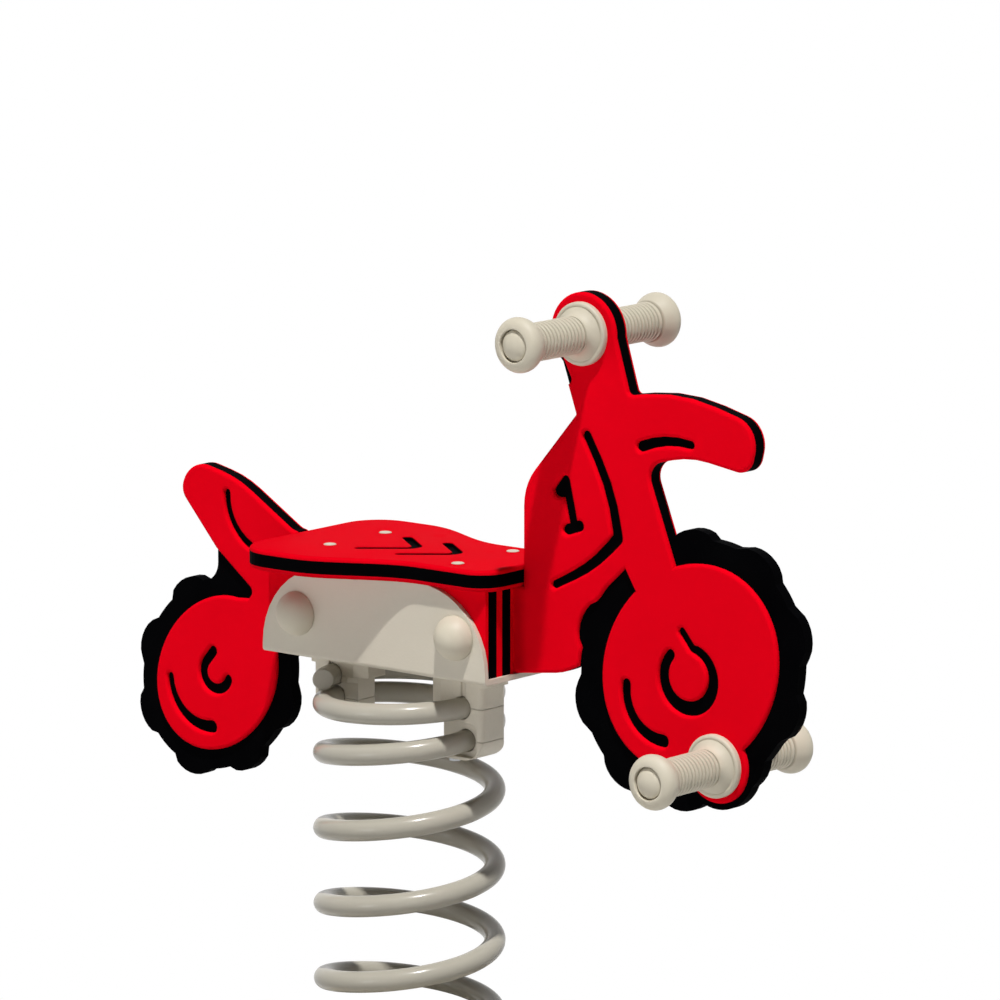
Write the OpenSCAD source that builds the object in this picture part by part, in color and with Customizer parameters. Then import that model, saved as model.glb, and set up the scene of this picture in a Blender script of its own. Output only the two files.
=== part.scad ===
// Motorbike-shaped spring rider: three-layer sheets on one coil spring.
// X points forward, Y to the rider's left and Z up. The origin is the middle
// of the base plate's underside, and the coil's axis is the Z axis.

/* [Base] */
// Side of the square base plate
base_w = 300; // [260:5:400]
// Thickness of the base plate
base_t = 10; // [6:1:16]
// Corner radius of the base plate
base_corner_r = 30; // [10:5:50]
// Distance of a ground bolt from the plate's edges
ground_bolt_edge = 30; // [24:1:45]
// Diameter of a ground bolt's hole
ground_hole_d = 14; // [8:1:20]

/* [Spring] */
// Diameter of the wire
wire_d = 20; // [16:1:22]
// Mean diameter of the coil
coil_d = 160; // [140:2:190]
// Rise of an open turn
open_pitch = 72; // [55:1:85]
// Gap between the closed turns at each end
closed_gap = 1.5; // [1:0.5:4]
// Whole turns between the two clamped ends
full_turns = 6; // [5:1:8]
// How far each end of the wire runs past the rear clamp, in degrees
end_lap = 39; // [30:1:55]

/* [Clamps] */
// Metal between the end of the wire and the plate above it
jaw_wall = 9.5; // [6:0.5:16]
// Metal under the lowest wire
jaw_under = 19; // [16:0.5:24]
// Width of a jaw's nose
jaw_w = 36; // [32:1:46]
// Reach of a jaw inside the middle of the wire
jaw_inside = 28; // [26:0.5:34]
// How much farther in the foot jaw reaches
jaw_foot_extra = 13; // [5:0.5:15]
// Length of the taper at a lower jaw's inner end
jaw_taper_l = 9; // [6:0.5:10]
// Length of the taper at a foot jaw's inner end
jaw_foot_taper_l = 14; // [8:0.5:16]
// How much the taper narrows each side
jaw_taper_w = 6; // [2:0.5:6]
// Reach of a jaw outside the middle of the wire
jaw_outside = 22.5; // [18:0.5:26]
// Corner radius of the nose
jaw_nose_r = 6; // [3:0.5:9]
// Radius of the outer lower edge
jaw_toe_r = 22; // [12:1:26]
// Reach of the lip under the plate past the nose
jaw_lip = 5; // [3:0.5:8]
// Height of the lip
jaw_lip_h = 12; // [8:0.5:15]
// Width of the upright groove in the foot jaw's sides
jaw_groove_w = 5.5; // [4:0.5:8]
// Depth of the upright groove
jaw_groove_depth = 2; // [1:0.5:3]
// Depth of the pocket round the wire in the lower jaws' sides
jaw_pocket_depth = 6; // [3:0.5:7]
// Height of that pocket above and below the wire
jaw_pocket_h = 16; // [13:0.5:18]
// Corner radius of that pocket
jaw_pocket_r = 7; // [4:0.5:10]
// Metal left between that pocket and the nose
jaw_front_wall = 7.2; // [5:0.2:9]
// Diameter of a clamp bolt
clamp_bolt_d = 6; // [5:0.5:7]
// Spacing of the two bolts of a clamp
clamp_bolt_gap = 15; // [13:0.5:17]
// Width of a clamp bolt's head across its flats
clamp_head_w = 9.6; // [8:0.2:11]
// Height of a clamp bolt's head
clamp_head_h = 3.9; // [3:0.1:5]

/* [Sheets] */
// Thickness of a three-layer sheet
sheet_t = 20; // [16:1:24]
// Thickness of a coloured outer layer
skin_t = 4; // [2.5:0.5:5]
// Height of the spacer sheets under the seat
spacer_h = 82; // [76:1:100]
// Length of the spacer sheets
spacer_l = 262; // [250:1:266]

/* [Saddle bracket] */
// How far the saddle stands ahead of the coil's axis
saddle_x = 2; // [-5:1:10]
// Length of the bracket
bracket_l = 269; // [264:1:290]
// Thickness of the bracket's plate
bracket_t = 5; // [4:0.5:7]
// Outer radius of the bends
bracket_bend_r = 4; // [2:0.5:5]
// Radius of the side plates' upper corners
bracket_corner_r = 79; // [50:1:80]
// Spacing of the through bolts
through_bolt_gap = 191; // [170:1:195]
// How far the middle of the through bolts lies ahead of the saddle's middle
through_bolt_x = 3.5; // [0:0.5:6]
// Height of the through bolts above the bracket's floor
through_bolt_h = 36; // [30:1:44]
// Diameter of a through bolt
through_bolt_d = 12; // [8:1:14]
// Width of a through bolt's nut across its flats
bolt_nut_w = 18; // [15:0.5:20]
// Height of a through bolt's nut
bolt_nut_h = 7.2; // [5:0.2:9]
// Diameter of the domed cap over a bolt's end
bolt_cap_d = 42; // [36:1:48]
// Height of the domed cap
bolt_cap_h = 19; // [14:0.5:21]
// Height of the straight rim under the dome
bolt_cap_rim_h = 1.9; // [1:0.1:3]

/* [Seat] */
// Length of the seat
seat_l = 272; // [262:1:276]
// How far the seat's rear edge lies behind the saddle's middle
seat_back = 131; // [129:1:136]
// Width of the seat at the rear
seat_rear_w = 204; // [180:2:230]
// Width of the seat at the front
seat_front_w = 124; // [116:2:150]
// Radius of the rear corners
seat_rear_r = 40; // [20:1:48]
// Radius of the front corners
seat_front_r = 25; // [10:1:32]
// Length of the stretch where the seat narrows
seat_waist_l = 120; // [80:2:140]
// Spacing of the seat screws along the seat
seat_screw_gap = 154; // [130:2:170]
// How far the rear seat screws lie behind the saddle's middle
seat_screw_back = 64; // [56:1:72]
// Diameter of a seat screw's head
seat_screw_head_d = 12; // [9:0.5:15]
// Height of a seat screw's head
seat_screw_head_h = 2.4; // [1.5:0.1:4]
// Diameter of a seat screw's shank
seat_shank_d = 6; // [4:0.5:8]
// How deep a seat screw goes into the spacer
seat_screw_bite = 20; // [12:1:26]

/* [Main panel] */
// Gap between the seat and the panel's upright edges
seat_gap = 1; // [0.5:0.5:3]
// Length of the tail behind the seat
tail_l = 145; // [125:1:160]
// Height of the tail above the seat
tail_h = 54; // [46:1:62]
// Length of the tank and mudguard ahead of the seat
fairing_l = 265; // [255:1:275]
// Height of the mudguard above the seat
fairing_h = 175; // [168:1:182]
// Handle's place ahead of the coil's axis
handle_x = 213; // [205:1:222]
// Height of the handle above the seat
handle_h = 221; // [212:1:240]
// Radius of the boss round the handle
handle_boss_r = 37.5; // [34:0.5:44]
// Footrests' place ahead of the coil's axis
foot_x = 367; // [360:1:374]
// Depth of the footrests below the seat
foot_drop = 157; // [152:1:162]
// Radius of the red boss round the footrests
foot_boss_r = 35; // [32:0.5:38]
// Black rim left round the footrest boss
foot_rim = 6; // [4:0.5:8]

/* [Wheels] */
// Front wheel's place ahead of the coil's axis
front_wheel_x = 335.5; // [330:0.5:340]
// Depth of the front wheel's middle below the seat
front_wheel_drop = 73.5; // [70:0.5:78]
// Half of the front tyre's long axis
front_tyre_r = 132.5; // [127:0.5:137]
// Half of the front disc's long axis
front_disc_r = 107.5; // [103:0.5:112]
// Rear wheel's place behind the coil's axis
rear_wheel_x = 232; // [228:1:236]
// Depth of the rear wheel's middle below the seat
rear_wheel_drop = 148; // [144:1:152]
// Half of the rear tyre's long axis
rear_tyre_r = 101.5; // [97:0.5:106]
// Half of the rear disc's long axis
rear_disc_r = 84.5; // [80:0.5:88]
// How far the routing of a tread runs past the tyre
tread_margin = 1; // [0.5:0.5:3]
// Height of a tread lobe
lobe_h = 9; // [5:0.5:12]
// Tread lobes round the front tyre
front_lobes = 10; // [8:1:12]
// Tread lobes round the rear tyre
rear_lobes = 8; // [6:1:10]

/* [Routed lines] */
// Width of a thin routed line
thin_line_w = 7.5; // [5:0.5:9]
// Width of a broad routed line
broad_line_w = 10; // [7:0.5:12]
// Width of the lines that widen, at their wide end
wide_line_w = 12; // [9:0.5:14]
// Radius of the front hub's ring
front_hub_r = 28; // [24:0.5:32]
// Extra width of the front hub's line at its lowest place
hub_swell = 4.5; // [2:0.5:7]
// Radius of the rear hub's arc
rear_hub_r = 16; // [13:0.5:19]

/* [Grips] */
// Length of a grip from the panel to its end
grip_l = 99.5; // [94:0.5:110]
// Diameter of the flange against the panel
grip_flange_d = 60; // [54:1:64]
// Thickness of the flange
grip_flange_t = 6; // [4:0.5:8]
// Radius of the flange's outer edge
grip_flange_edge_r = 2; // [1:0.5:3]
// Radius of the fillet from the flange to the tube
grip_fillet_r = 6; // [3:0.5:8]
// Diameter of the ribbed tube
grip_tube_d = 34; // [31:0.5:38]
// Number of ribs on the tube
grip_ribs = 12; // [8:1:14]
// Depth of the grooves between the ribs
grip_rib_depth = 1.2; // [0.6:0.1:1.6]
// Diameter of the knob at the end
grip_knob_d = 51; // [46:0.5:56]
// Length of the knob with its flare
grip_knob_l = 34; // [30:1:38]
// Length of the flare from the tube to the knob's widest place
grip_flare_l = 23.8; // [18:0.2:27]
// Diameter of the button in the knob's end
grip_button_d = 28; // [26:0.5:31]
// Depth of the button's seat in the knob
grip_button_t = 4.2; // [3:0.2:6]
// Rise of the button's dome
grip_button_dome = 4.8; // [2:0.2:7]
// Diameter of the steel rod through the grips
rod_d = 12; // [10:0.5:14]
// Width of a rod's nut across its flats
rod_nut_w = 18; // [16:0.5:20]
// Height of a rod's nut
rod_nut_h = 8.4; // [6:0.2:10]

/* [Hidden] */
// Sub-parts, one module each

$fn = 64;
// Colours of the real materials
red_sheet = [0.85, 0.03, 0.09];
black_sheet = [0.03, 0.03, 0.03];
powder_beige = [0.76, 0.73, 0.66];
grip_beige = [0.80, 0.77, 0.69];
zinc_steel = [0.70, 0.71, 0.72];
// One overrun for every cut
overrun = 1;
// Clearance of a shank in its hole
hole_fit = 0.15;
// Clearance of the wire in its groove
wire_fit = 0.7;
// Gap left between two clamp jaws
jaw_split = 0.4;

ground_bolt_gap = base_w - 2 * ground_bolt_edge;

// Coil heights run from the middle of the coil, and turns likewise.
wire_r = wire_d / 2;
coil_r = coil_d / 2;
closed_pitch = wire_d + closed_gap;
end_angle = 180 + end_lap;
wire_turns = full_turns + 2 * end_angle / 360;
half_turns = wire_turns / 2;
closed_turns = 1;
ramp_turns = 1;
open_half = half_turns - closed_turns - ramp_turns;
wire_rings = 32;
wire_sides = 12;

// Levels of the finished rider above the ground
clamp_reach = wire_height(half_turns) + wire_r + jaw_wall;
coil_z = base_t + clamp_reach;
bracket_z = coil_z + clamp_reach;
floor_z = bracket_z + bracket_t;
seat_z = floor_z + spacer_h;
seat_top = seat_z + sheet_t;
core_t = sheet_t - 2 * skin_t;
floor_drop = spacer_h + sheet_t;
bracket_in_w = 5 * sheet_t;

// Places along the rider
seat_rear = saddle_x - seat_back;
seat_front = seat_rear + seat_l;
tail_x = seat_rear - seat_gap;
tank_x = seat_front + seat_gap;

// Share of a lobe's width that is raised, and how full its crown is
lobe_width_share = 0.3;
lobe_crown_share = 0.46;
// How far a tyre lies off the middle of its disc, in shares of its long half axis
tyre_shift_shares = [-0.02, -0.012];
front_tyre_minor_share = 0.846;
front_disc_minor_share = 0.835;
front_wheel_tilt = 43;
front_lobe_turn = 12;
rear_tyre_minor_share = 0.845;
rear_disc_minor_share = 0.797;
rear_wheel_tilt = 45;
rear_lobe_turn = 27.5;

// Corners of the outline: along, up and radius. The tank and mudguard are in
// shares of fairing_l and fairing_h, the tail in shares of tail_l and tail_h.
tank_rear_shares = [[0, 0.43, 0.3], [0.23, 0.835, 0.01]];
mudguard_shares = [
  [0.46, 0.968, 0.03], [0.68, 1.02, 1.1], [1.013, 0.886, 0.15], [0.973, 0.629, 0.09],
  [0.72, 0.688, 0.6], [0.529, 0.615, 0.09]
];
fork_foot_shares = [0.659, 0.11];
// Body's corners inside the handle boss and the tyres, in shares of their radii
boss_corner_shares = [[-0.75, -0.5], [0, 0], [0.99, 0]];
belly_wheel_shares = [-0.75, 0];
web_reach_share = 0.3;
belly_shares = [0.17, 0.04, 0.3];
web_shares = [[0.697, -1.13, 0.37], [0.697, -0.5, 0]];
tail_shares = [
  [1.007, 0.444, 0.31], [0.924, 1.04, 0.5], [0.52, 0.8, 2.2], [0.045, 0.02, 0.33],
  [0, 0, 0.03]
];
// Black wedge under the tail, in shares of the tail
wedge_shares = [
  [0.697, -0.5, 0], [0.373, -1.17, 0.11], [0.42, -1.32, 0.05], [0.9, -1.4, 0], [0.9, -0.6, 0]
];
// Red bridges across the tyres, in shares of each tyre's long half axis
fork_bridge_shares = [
  [-0.8, 0.7], [-0.75, 0.457], [-0.557, 0.636], [-0.425, 0.42], [-0.13, 0.29]
];
rear_bridge_shares = [[0, 1.19], [0.25, 0.7], [0.3, 0.3], [0.75, 0.405], [1.2, 0.405], [1.2, 1.2]];
// Routed lines of the tank and mudguard, in shares of the fairing
tank_line_shares = [[0.277, 0.728, 0], [0.389, 0.437, 1], [0.411, 0.213, 0]];
tank_turn_shares = [[0.411, 0.213, 0], [0.303, 0.049, 0.9], [0.138, -0.077, 0]];
// Middle and radius of the mudguard's arc, all but its place along in shares of fairing_h
mudguard_line_shares = [0.665, 0.17, 0.588];
numeral_mid_share = 0.2;
numeral_shares = [
  [[0.153, 0.42], [0.184, 0.478]], [[0.184, 0.478], [0.221, 0.24]], [[0.192, 0.222], [0.245, 0.25]],
  [[0.16, 0.416], [0.193, 0.42]]
];
// Middle and radius of the tail's arc
tail_line_shares = [0.25, 0.48, 0.35];
// Short line across the edge of the handle boss, in shares of its radius
boss_line_shares = [[-0.83, -0.55], [-0.5, -1.16]];
// Hubs and gleams of the wheels: middle and radius, in shares of the tyre's long half axis
front_hub_shares = [-0.01, -0.058];
front_hub_tail_share = 1.52;
front_gleam_shares = [-0.226, -0.204, 0.32];
rear_hub_shares = [-0.008, 0.004];
rear_hub_tail_share = 1.29;
rear_gleam_shares = [-0.13, -0.08, 0.45];
// Seat chevrons: along, across
chevron_shares = [-0.12, 0.06];
chevron_depth_share = 0.16;
chevron_half_share = 0.17;

// Rise of the wire above the middle of the coil after so many turns
function wire_height(s) =
  let (
    t = abs(s),
    u = min(max(t - open_half, 0), ramp_turns),
    v = max(t - open_half - ramp_turns, 0)
  )
  sign(s) * (open_pitch * min(t, open_half) + open_pitch * u
    - (open_pitch - closed_pitch) * u * u / (2 * ramp_turns) + closed_pitch * v);

// Rise for a whole turn at that place
function wire_pitch(s) =
  open_pitch - (open_pitch - closed_pitch)
    * min(max(abs(s) - open_half, 0), ramp_turns) / ramp_turns;

function wire_angle(s) = end_angle - 360 * (half_turns - s);

function unit(v) = v / norm(v);
function xy(p) = [p[0], p[1]];
function sharp(p) = [p[0], p[1], 0];

// Arc that rounds the corner b between a and c, facing either way
function rounded(a, b, c, r) =
  r <= 0 ? [b] :
  let (
    u = unit(a - b),
    v = unit(c - b),
    half = acos(max(-1, min(1, u * v))) / 2,
    mid = b + unit(u + v) * r / sin(half),
    p = b + u * r / tan(half) - mid,
    q = b + v * r / tan(half) - mid,
    from = atan2(p[1], p[0]),
    turn = atan2(p[0] * q[1] - p[1] * q[0], p * q),
    steps = max(2, ceil(abs(turn) / 9))
  )
  [for (i = [0:steps]) mid + r * [cos(from + turn * i / steps), sin(from + turn * i / steps)]];

// How far the arc of a corner reaches along its two edges
function arc_reach(a, b, c, r) =
  let (u = unit(a - b), v = unit(c - b))
  r / tan(acos(max(-1, min(1, u * v))) / 2);

// Closed outline through corners given as [x, y, radius], where two arcs that are
// too large for the edge between them share that edge
function rounded_outline(corners) =
  let (
    n = len(corners),
    at = [for (c = corners) xy(c)],
    reach = [for (i = [0:n - 1])
      arc_reach(at[(i + n - 1) % n], at[i], at[(i + 1) % n], corners[i][2])],
    fit = [for (i = [0:n - 1])
      let (need = reach[i] + reach[(i + 1) % n])
      need == 0 ? 1 : min(1, norm(at[(i + 1) % n] - at[i]) / need)]
  )
  [for (i = [0:n - 1])
    each rounded(at[(i + n - 1) % n], at[i], at[(i + 1) % n],
      corners[i][2] * min(fit[i], fit[(i + n - 1) % n]))];

// Same outline run the other way round
function reversed(points) = [for (i = [len(points) - 1:-1:0]) points[i]];

// Open path of three corners with the middle one rounded
function bent_path(c) = concat([xy(c[0])], rounded(xy(c[0]), xy(c[1]), xy(c[2]), c[1][2]), [xy(c[2])]);

function arc_path(mid, r, from, to) =
  let (steps = max(4, ceil(abs(to - from) / 10)))
  [for (i = [0:steps])
    let (a = from + (to - from) * i / steps)
    mid + r * [cos(a), sin(a)]];

// Outline of a routed line with round ends, as wide as w at its start and w_end at its end;
// halfway it is wider by swell
function ribbon(path, w, w_end, swell = 0) =
  let (
    n = len(path) - 1,
    dir = [for (i = [0:n]) unit(path[min(i + 1, n)] - path[max(i - 1, 0)])],
    half = [for (i = [0:n]) (w + (w_end - w) * i / n + swell * sin(180 * i / n)) / 2],
    left = [for (i = [0:n]) path[i] + half[i] * [-dir[i][1], dir[i][0]]],
    right = [for (i = [n:-1:0]) path[i] + half[i] * [dir[i][1], -dir[i][0]]],
    tip = atan2(dir[n][1], dir[n][0]),
    heel = atan2(dir[0][1], dir[0][0]),
    cap = [for (a = [60:-30:-60]) a]
  )
  concat(left, [for (a = cap) path[n] + half[n] * [cos(tip + a), sin(tip + a)]],
    right, [for (a = cap) path[0] - half[0] * [cos(heel + a), sin(heel + a)]]);

// Ellipse with raised lobes, its long axis turned by tilt
function lobed(mid, long, minor_share, tilt, lobes, lobe, lobe_turn, grow) =
  let (steps = lobes == 0 ? 90 : 12 * lobes)
  [for (i = [0:steps - 1])
    let (
      t = 360 * i / steps,
      flatness = (1 - minor_share) / (1 + minor_share),
      along = t - flatness * sin(2 * t) * 90 / PI,
      crown = (cos(lobes * (along - lobe_turn)) + lobe_width_share) / (1 + lobe_width_share),
      lift = grow + lobe * pow(max(0, crown), lobe_crown_share),
      p = [(long + lift) * cos(t), (long * minor_share + lift) * sin(t)]
    )
    mid + [p[0] * cos(tilt) - p[1] * sin(tilt), p[0] * sin(tilt) + p[1] * cos(tilt)]];

// Panel outlines are drawn along and up, with the seat's top as zero
front_wheel = [front_wheel_x, -front_wheel_drop];
rear_wheel = [-rear_wheel_x, -rear_wheel_drop];
handle = [handle_x, handle_h];
foot = [foot_x, -foot_drop];
through_bolts_at = [for (s = [-1, 1]) 
  [saddle_x + through_bolt_x + s * through_bolt_gap / 2, through_bolt_h - floor_drop]];

function on_fairing(p) = [tank_x + p[0] * fairing_l, p[1] * fairing_h, p[2] * fairing_h];
function on_tail(p) = [tail_x - p[0] * tail_l, p[1] * tail_h, p[2] * tail_h];
function fairing_at(p) = [tank_x + p[0] * fairing_l, p[1] * fairing_h];

fork_foot = fairing_at(fork_foot_shares);

// Whole sheet without the wheels, from the seat's bed round by the front
body_corners = concat(
  [[tail_x, -sheet_t, 0], [tank_x, -sheet_t, 0]],
  [for (p = tank_rear_shares) on_fairing(p)],
  [for (p = boss_corner_shares) sharp(handle + p * handle_boss_r)],
  [for (p = mudguard_shares) on_fairing(p)],
  [sharp(fork_foot),
    sharp(front_wheel),
    sharp(front_wheel + belly_wheel_shares * front_tyre_r),
    [tank_x + belly_shares[0] * fairing_l, belly_shares[1] * fairing_h - floor_drop,
      belly_shares[2] * fairing_h],
    [saddle_x + spacer_l / 2, -floor_drop, 0],
    [saddle_x - spacer_l / 2, -floor_drop, 0],
    [rear_wheel[0], -floor_drop, 0],
    [tail_x - web_shares[0][0] * tail_l - web_reach_share * rear_tyre_r,
      web_shares[0][1] * tail_h, 0]],
  [for (p = web_shares) on_tail(p)],
  [for (p = tail_shares) on_tail(p)]
);

module front_tyre_2d(grow) {
  polygon(lobed(front_wheel + tyre_shift_shares * front_tyre_r, front_tyre_r,
    front_tyre_minor_share, front_wheel_tilt, front_lobes, lobe_h, front_lobe_turn, grow));
}

module rear_tyre_2d(grow) {
  polygon(lobed(rear_wheel + tyre_shift_shares * rear_tyre_r, rear_tyre_r,
    rear_tyre_minor_share, rear_wheel_tilt, rear_lobes, lobe_h, rear_lobe_turn, grow));
}

module disc_2d(mid, r, minor_share, tilt) {
  polygon(lobed(mid, r, minor_share, tilt, 0, 0, 0, 0));
}

module panel_outline_2d() {
  polygon(reversed(rounded_outline(body_corners)));
  translate(handle) circle(r = handle_boss_r);
  front_tyre_2d(0);
  rear_tyre_2d(0);
  translate(foot) circle(r = foot_boss_r + foot_rim);
}

module panel_bores_2d() {
  for (at = [handle, foot]) translate(at) circle(d = rod_d + 2 * hole_fit);
  for (at = through_bolts_at) translate(at) circle(d = through_bolt_d + 2 * hole_fit);
}

// Tread of each wheel, where the coloured layer is routed away
module tread_2d() {
  difference() {
    union() {
      front_tyre_2d(tread_margin);
      translate(foot) circle(r = foot_boss_r + foot_rim + tread_margin);
    }
    disc_2d(front_wheel, front_disc_r, front_disc_minor_share, front_wheel_tilt);
    translate(foot) circle(r = foot_boss_r);
    polygon(concat(
      [for (p = fork_bridge_shares) front_wheel + p * front_tyre_r],
      [fork_foot, fairing_at(mudguard_shares[5])]));
  }
  difference() {
    union() {
      difference() {
        rear_tyre_2d(tread_margin);
        polygon([for (p = rear_bridge_shares) rear_wheel + p * rear_tyre_r]);
      }
      polygon(rounded_outline([for (p = wedge_shares) on_tail(p)]));
    }
    disc_2d(rear_wheel, rear_disc_r, rear_disc_minor_share, rear_wheel_tilt);
  }
}

// Decorative lines; turned is -1 where the numeral has to read from the left
module routed_lines_2d(turned) {
  front_hub = front_wheel + front_hub_shares * front_tyre_r;
  front_gleam = front_wheel + xy(front_gleam_shares) * front_tyre_r;
  rear_hub = rear_wheel + rear_hub_shares * rear_tyre_r;
  rear_gleam = rear_wheel + xy(rear_gleam_shares) * rear_tyre_r;
  front_tail = front_hub + front_hub_tail_share * front_hub_r * [cos(100), sin(100)];
  rear_tail = rear_hub + rear_hub_tail_share * rear_hub_r * [cos(100), sin(100)];
  polygon(ribbon(concat(arc_path(front_hub, front_hub_r, 137, 441), [front_tail]),
    broad_line_w, thin_line_w, hub_swell));
  polygon(ribbon(arc_path(front_gleam, front_gleam_shares[2] * front_tyre_r, 173, 271),
    broad_line_w, wide_line_w));
  polygon(ribbon(concat([rear_tail], arc_path(rear_hub, rear_hub_r, 140, 340)),
    broad_line_w, broad_line_w));
  polygon(ribbon(arc_path(rear_gleam, rear_gleam_shares[2] * rear_tyre_r, 183, 279),
    thin_line_w, wide_line_w));
  polygon(ribbon(arc_path(xy(on_tail(tail_line_shares)), tail_line_shares[2] * tail_l, 178, 244),
    thin_line_w, thin_line_w));
  polygon(ribbon(bent_path([for (p = tank_line_shares) on_fairing(p)]), broad_line_w, wide_line_w));
  polygon(ribbon(bent_path([for (p = tank_turn_shares) on_fairing(p)]), wide_line_w, thin_line_w));
  polygon(ribbon(arc_path(fairing_at(mudguard_line_shares), mudguard_line_shares[2] * fairing_h,
    113, 81), broad_line_w, thin_line_w));
  polygon(ribbon([for (p = boss_line_shares) handle + p * handle_boss_r], broad_line_w, broad_line_w));
  numeral_mid = tank_x + numeral_mid_share * fairing_l;
  for (s = numeral_shares)
    polygon(ribbon([for (p = s)
      [numeral_mid + turned * (fairing_at(p)[0] - numeral_mid), fairing_at(p)[1]]],
      broad_line_w, broad_line_w));
}

module panel_skin_2d(turned) {
  difference() {
    panel_outline_2d();
    tread_2d();
    routed_lines_2d(turned);
    panel_bores_2d();
  }
}

// Stands a drawing up between two places across the rider
module upright(from, to) {
  translate([0, to, seat_top]) rotate([90, 0, 0]) linear_extrude(to - from) children();
}

// Lays a drawing down between two heights
module flat(from, to) {
  translate([0, 0, from]) linear_extrude(to - from) children();
}

// Hexagon for bolt heads and nuts, as wide across its flats as w
module hexagon_2d(w) {
  polygon([for (a = [0:60:300]) w / sqrt(3) * [cos(a), sin(a)]]);
}

/* Base plate and the coil's clamps */

module base_plate() {
  color(powder_beige) difference() {
    flat(0, base_t) polygon(rounded_outline([for (p = [[-1, -1], [1, -1], [1, 1], [-1, 1]])
      [p[0] * base_w / 2, p[1] * base_w / 2, base_corner_r]]));
    for (x = [-1, 1], y = [-1, 1])
      translate([x, y, 0] * ground_bolt_gap / 2 - [0, 0, overrun])
        cylinder(d = ground_hole_d, h = base_t + 2 * overrun);
    at_base() clamp_bolt_holes();
  }
}

// The clamps are drawn at the top of the coil, ahead of the middle of the coil.
// At the base the same clamps are turned over about the X axis.
module at_top() {
  translate([0, 0, coil_z]) children();
}

module at_base() {
  translate([0, 0, coil_z]) rotate([180, 0, 0]) children();
}

front_pass = half_turns - end_angle / 360;
rear_pass = half_turns - end_lap / 360;

clamp_bolt_x = coil_r - (jaw_inside + wire_r) / 2 + wire_fit;
clamp_bolt_r = clamp_bolt_d / 2;

module clamp_bolt_holes() {
  for (side = [0, 180], y = [-1, 1])
    rotate([0, 0, side]) translate([clamp_bolt_x, y * clamp_bolt_gap / 2, 0])
      cylinder(r = clamp_bolt_r + hole_fit, h = clamp_reach + base_t + bracket_t);
}

function toe_z(pass) = wire_height(pass - 1) - jaw_under;

// Plan of a jaw from its tapered inner end to its round-cornered nose
module jaw_plan_2d(from, to, taper_l) {
  half = jaw_w / 2;
  polygon(rounded_outline([
    [from, half - jaw_taper_w, 0], [from, jaw_taper_w - half, 0], [from + taper_l, -half, 0],
    [to, -half, jaw_nose_r], [to, half, jaw_nose_r], [from + taper_l, half, 0]]));
}

// Side view of the stack of jaws with its round toe
module jaw_side_2d(pass) {
  x0 = coil_r - jaw_inside - jaw_foot_extra;
  x1 = coil_r + jaw_outside;
  polygon(rounded_outline([[x0, toe_z(pass), 0], [x1, toe_z(pass), jaw_toe_r],
    [x1, clamp_reach, 0], [x0, clamp_reach, 0]]));
}

// Pockets in both sides, where the wire comes out of the lower jaws
module jaw_pockets(pass) {
  z = wire_height(pass - 1);
  x1 = coil_r + jaw_outside - jaw_front_wall;
  for (y = [overrun + jaw_w / 2, jaw_pocket_depth - jaw_w / 2])
    translate([0, y, 0]) rotate([90, 0, 0]) linear_extrude(jaw_pocket_depth + overrun)
      polygon(rounded_outline([
        [0, z - jaw_pocket_h, 0], [x1, z - jaw_pocket_h, jaw_pocket_r],
        [x1, z + jaw_pocket_h, jaw_pocket_r], [0, z + jaw_pocket_h, 0]]));
}

// Upright grooves in both sides of the foot jaw
module jaw_grooves() {
  for (y = [-1, 1])
    translate([coil_r - jaw_groove_w / 2, y * jaw_w / 2 - jaw_groove_depth, 0])
      cube([jaw_groove_w, 2 * jaw_groove_depth, clamp_reach]);
}

// Groove that the wire leaves at one of its turns, tilted to follow the rise
module wire_groove(s) {
  translate([0, 0, wire_height(s)]) rotate([atan(wire_pitch(s) / (PI * coil_d)), 0, 0])
    rotate_extrude($fn = 96) translate([coil_r, 0]) circle(r = wire_r + wire_fit, $fn = 40);
}

// level 0 is the foot against the plate, 1 the middle and 2 the toe
module jaw(side, pass, level) {
  edges = [clamp_reach, wire_height(pass), wire_height(pass - 1), toe_z(pass)];
  upper = edges[level] - (level == 0 ? 0 : jaw_split / 2);
  lower = edges[level + 1] + (level == 2 ? 0 : jaw_split / 2);
  inner = coil_r - jaw_inside;
  nose = coil_r + jaw_outside;
  color(powder_beige) difference() {
    rotate([0, 0, side]) difference() {
      if (level == 0) {
        flat(lower, upper) jaw_plan_2d(inner - jaw_foot_extra, nose, jaw_foot_taper_l);
        flat(upper - jaw_lip_h, upper)
          jaw_plan_2d(inner - jaw_foot_extra, nose + jaw_lip, jaw_foot_taper_l);
      } else {
        intersection() {
          flat(lower, upper) jaw_plan_2d(inner, nose, jaw_taper_l);
          translate([0, jaw_w, 0]) rotate([90, 0, 0]) linear_extrude(2 * jaw_w) jaw_side_2d(pass);
        }
      }
      wire_groove(pass);
      wire_groove(pass - 1);
      if (level == 0) jaw_grooves();
      else jaw_pockets(pass);
    }
    clamp_bolt_holes();
  }
}

// Four bolts through the jaws, screwed into the plate of thickness plate_t
module clamp_bolts(plate_t) {
  color(zinc_steel)
    for (c = [[0, front_pass], [180, rear_pass]], y = [-1, 1])
      rotate([0, 0, c[0]])
        translate([clamp_bolt_x, y * clamp_bolt_gap / 2, toe_z(c[1])]) {
          cylinder(r = clamp_bolt_r, h = clamp_reach + plate_t - toe_z(c[1]));
          translate([0, 0, -clamp_head_h]) linear_extrude(clamp_head_h) hexagon_2d(clamp_head_w);
        }
}

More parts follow.
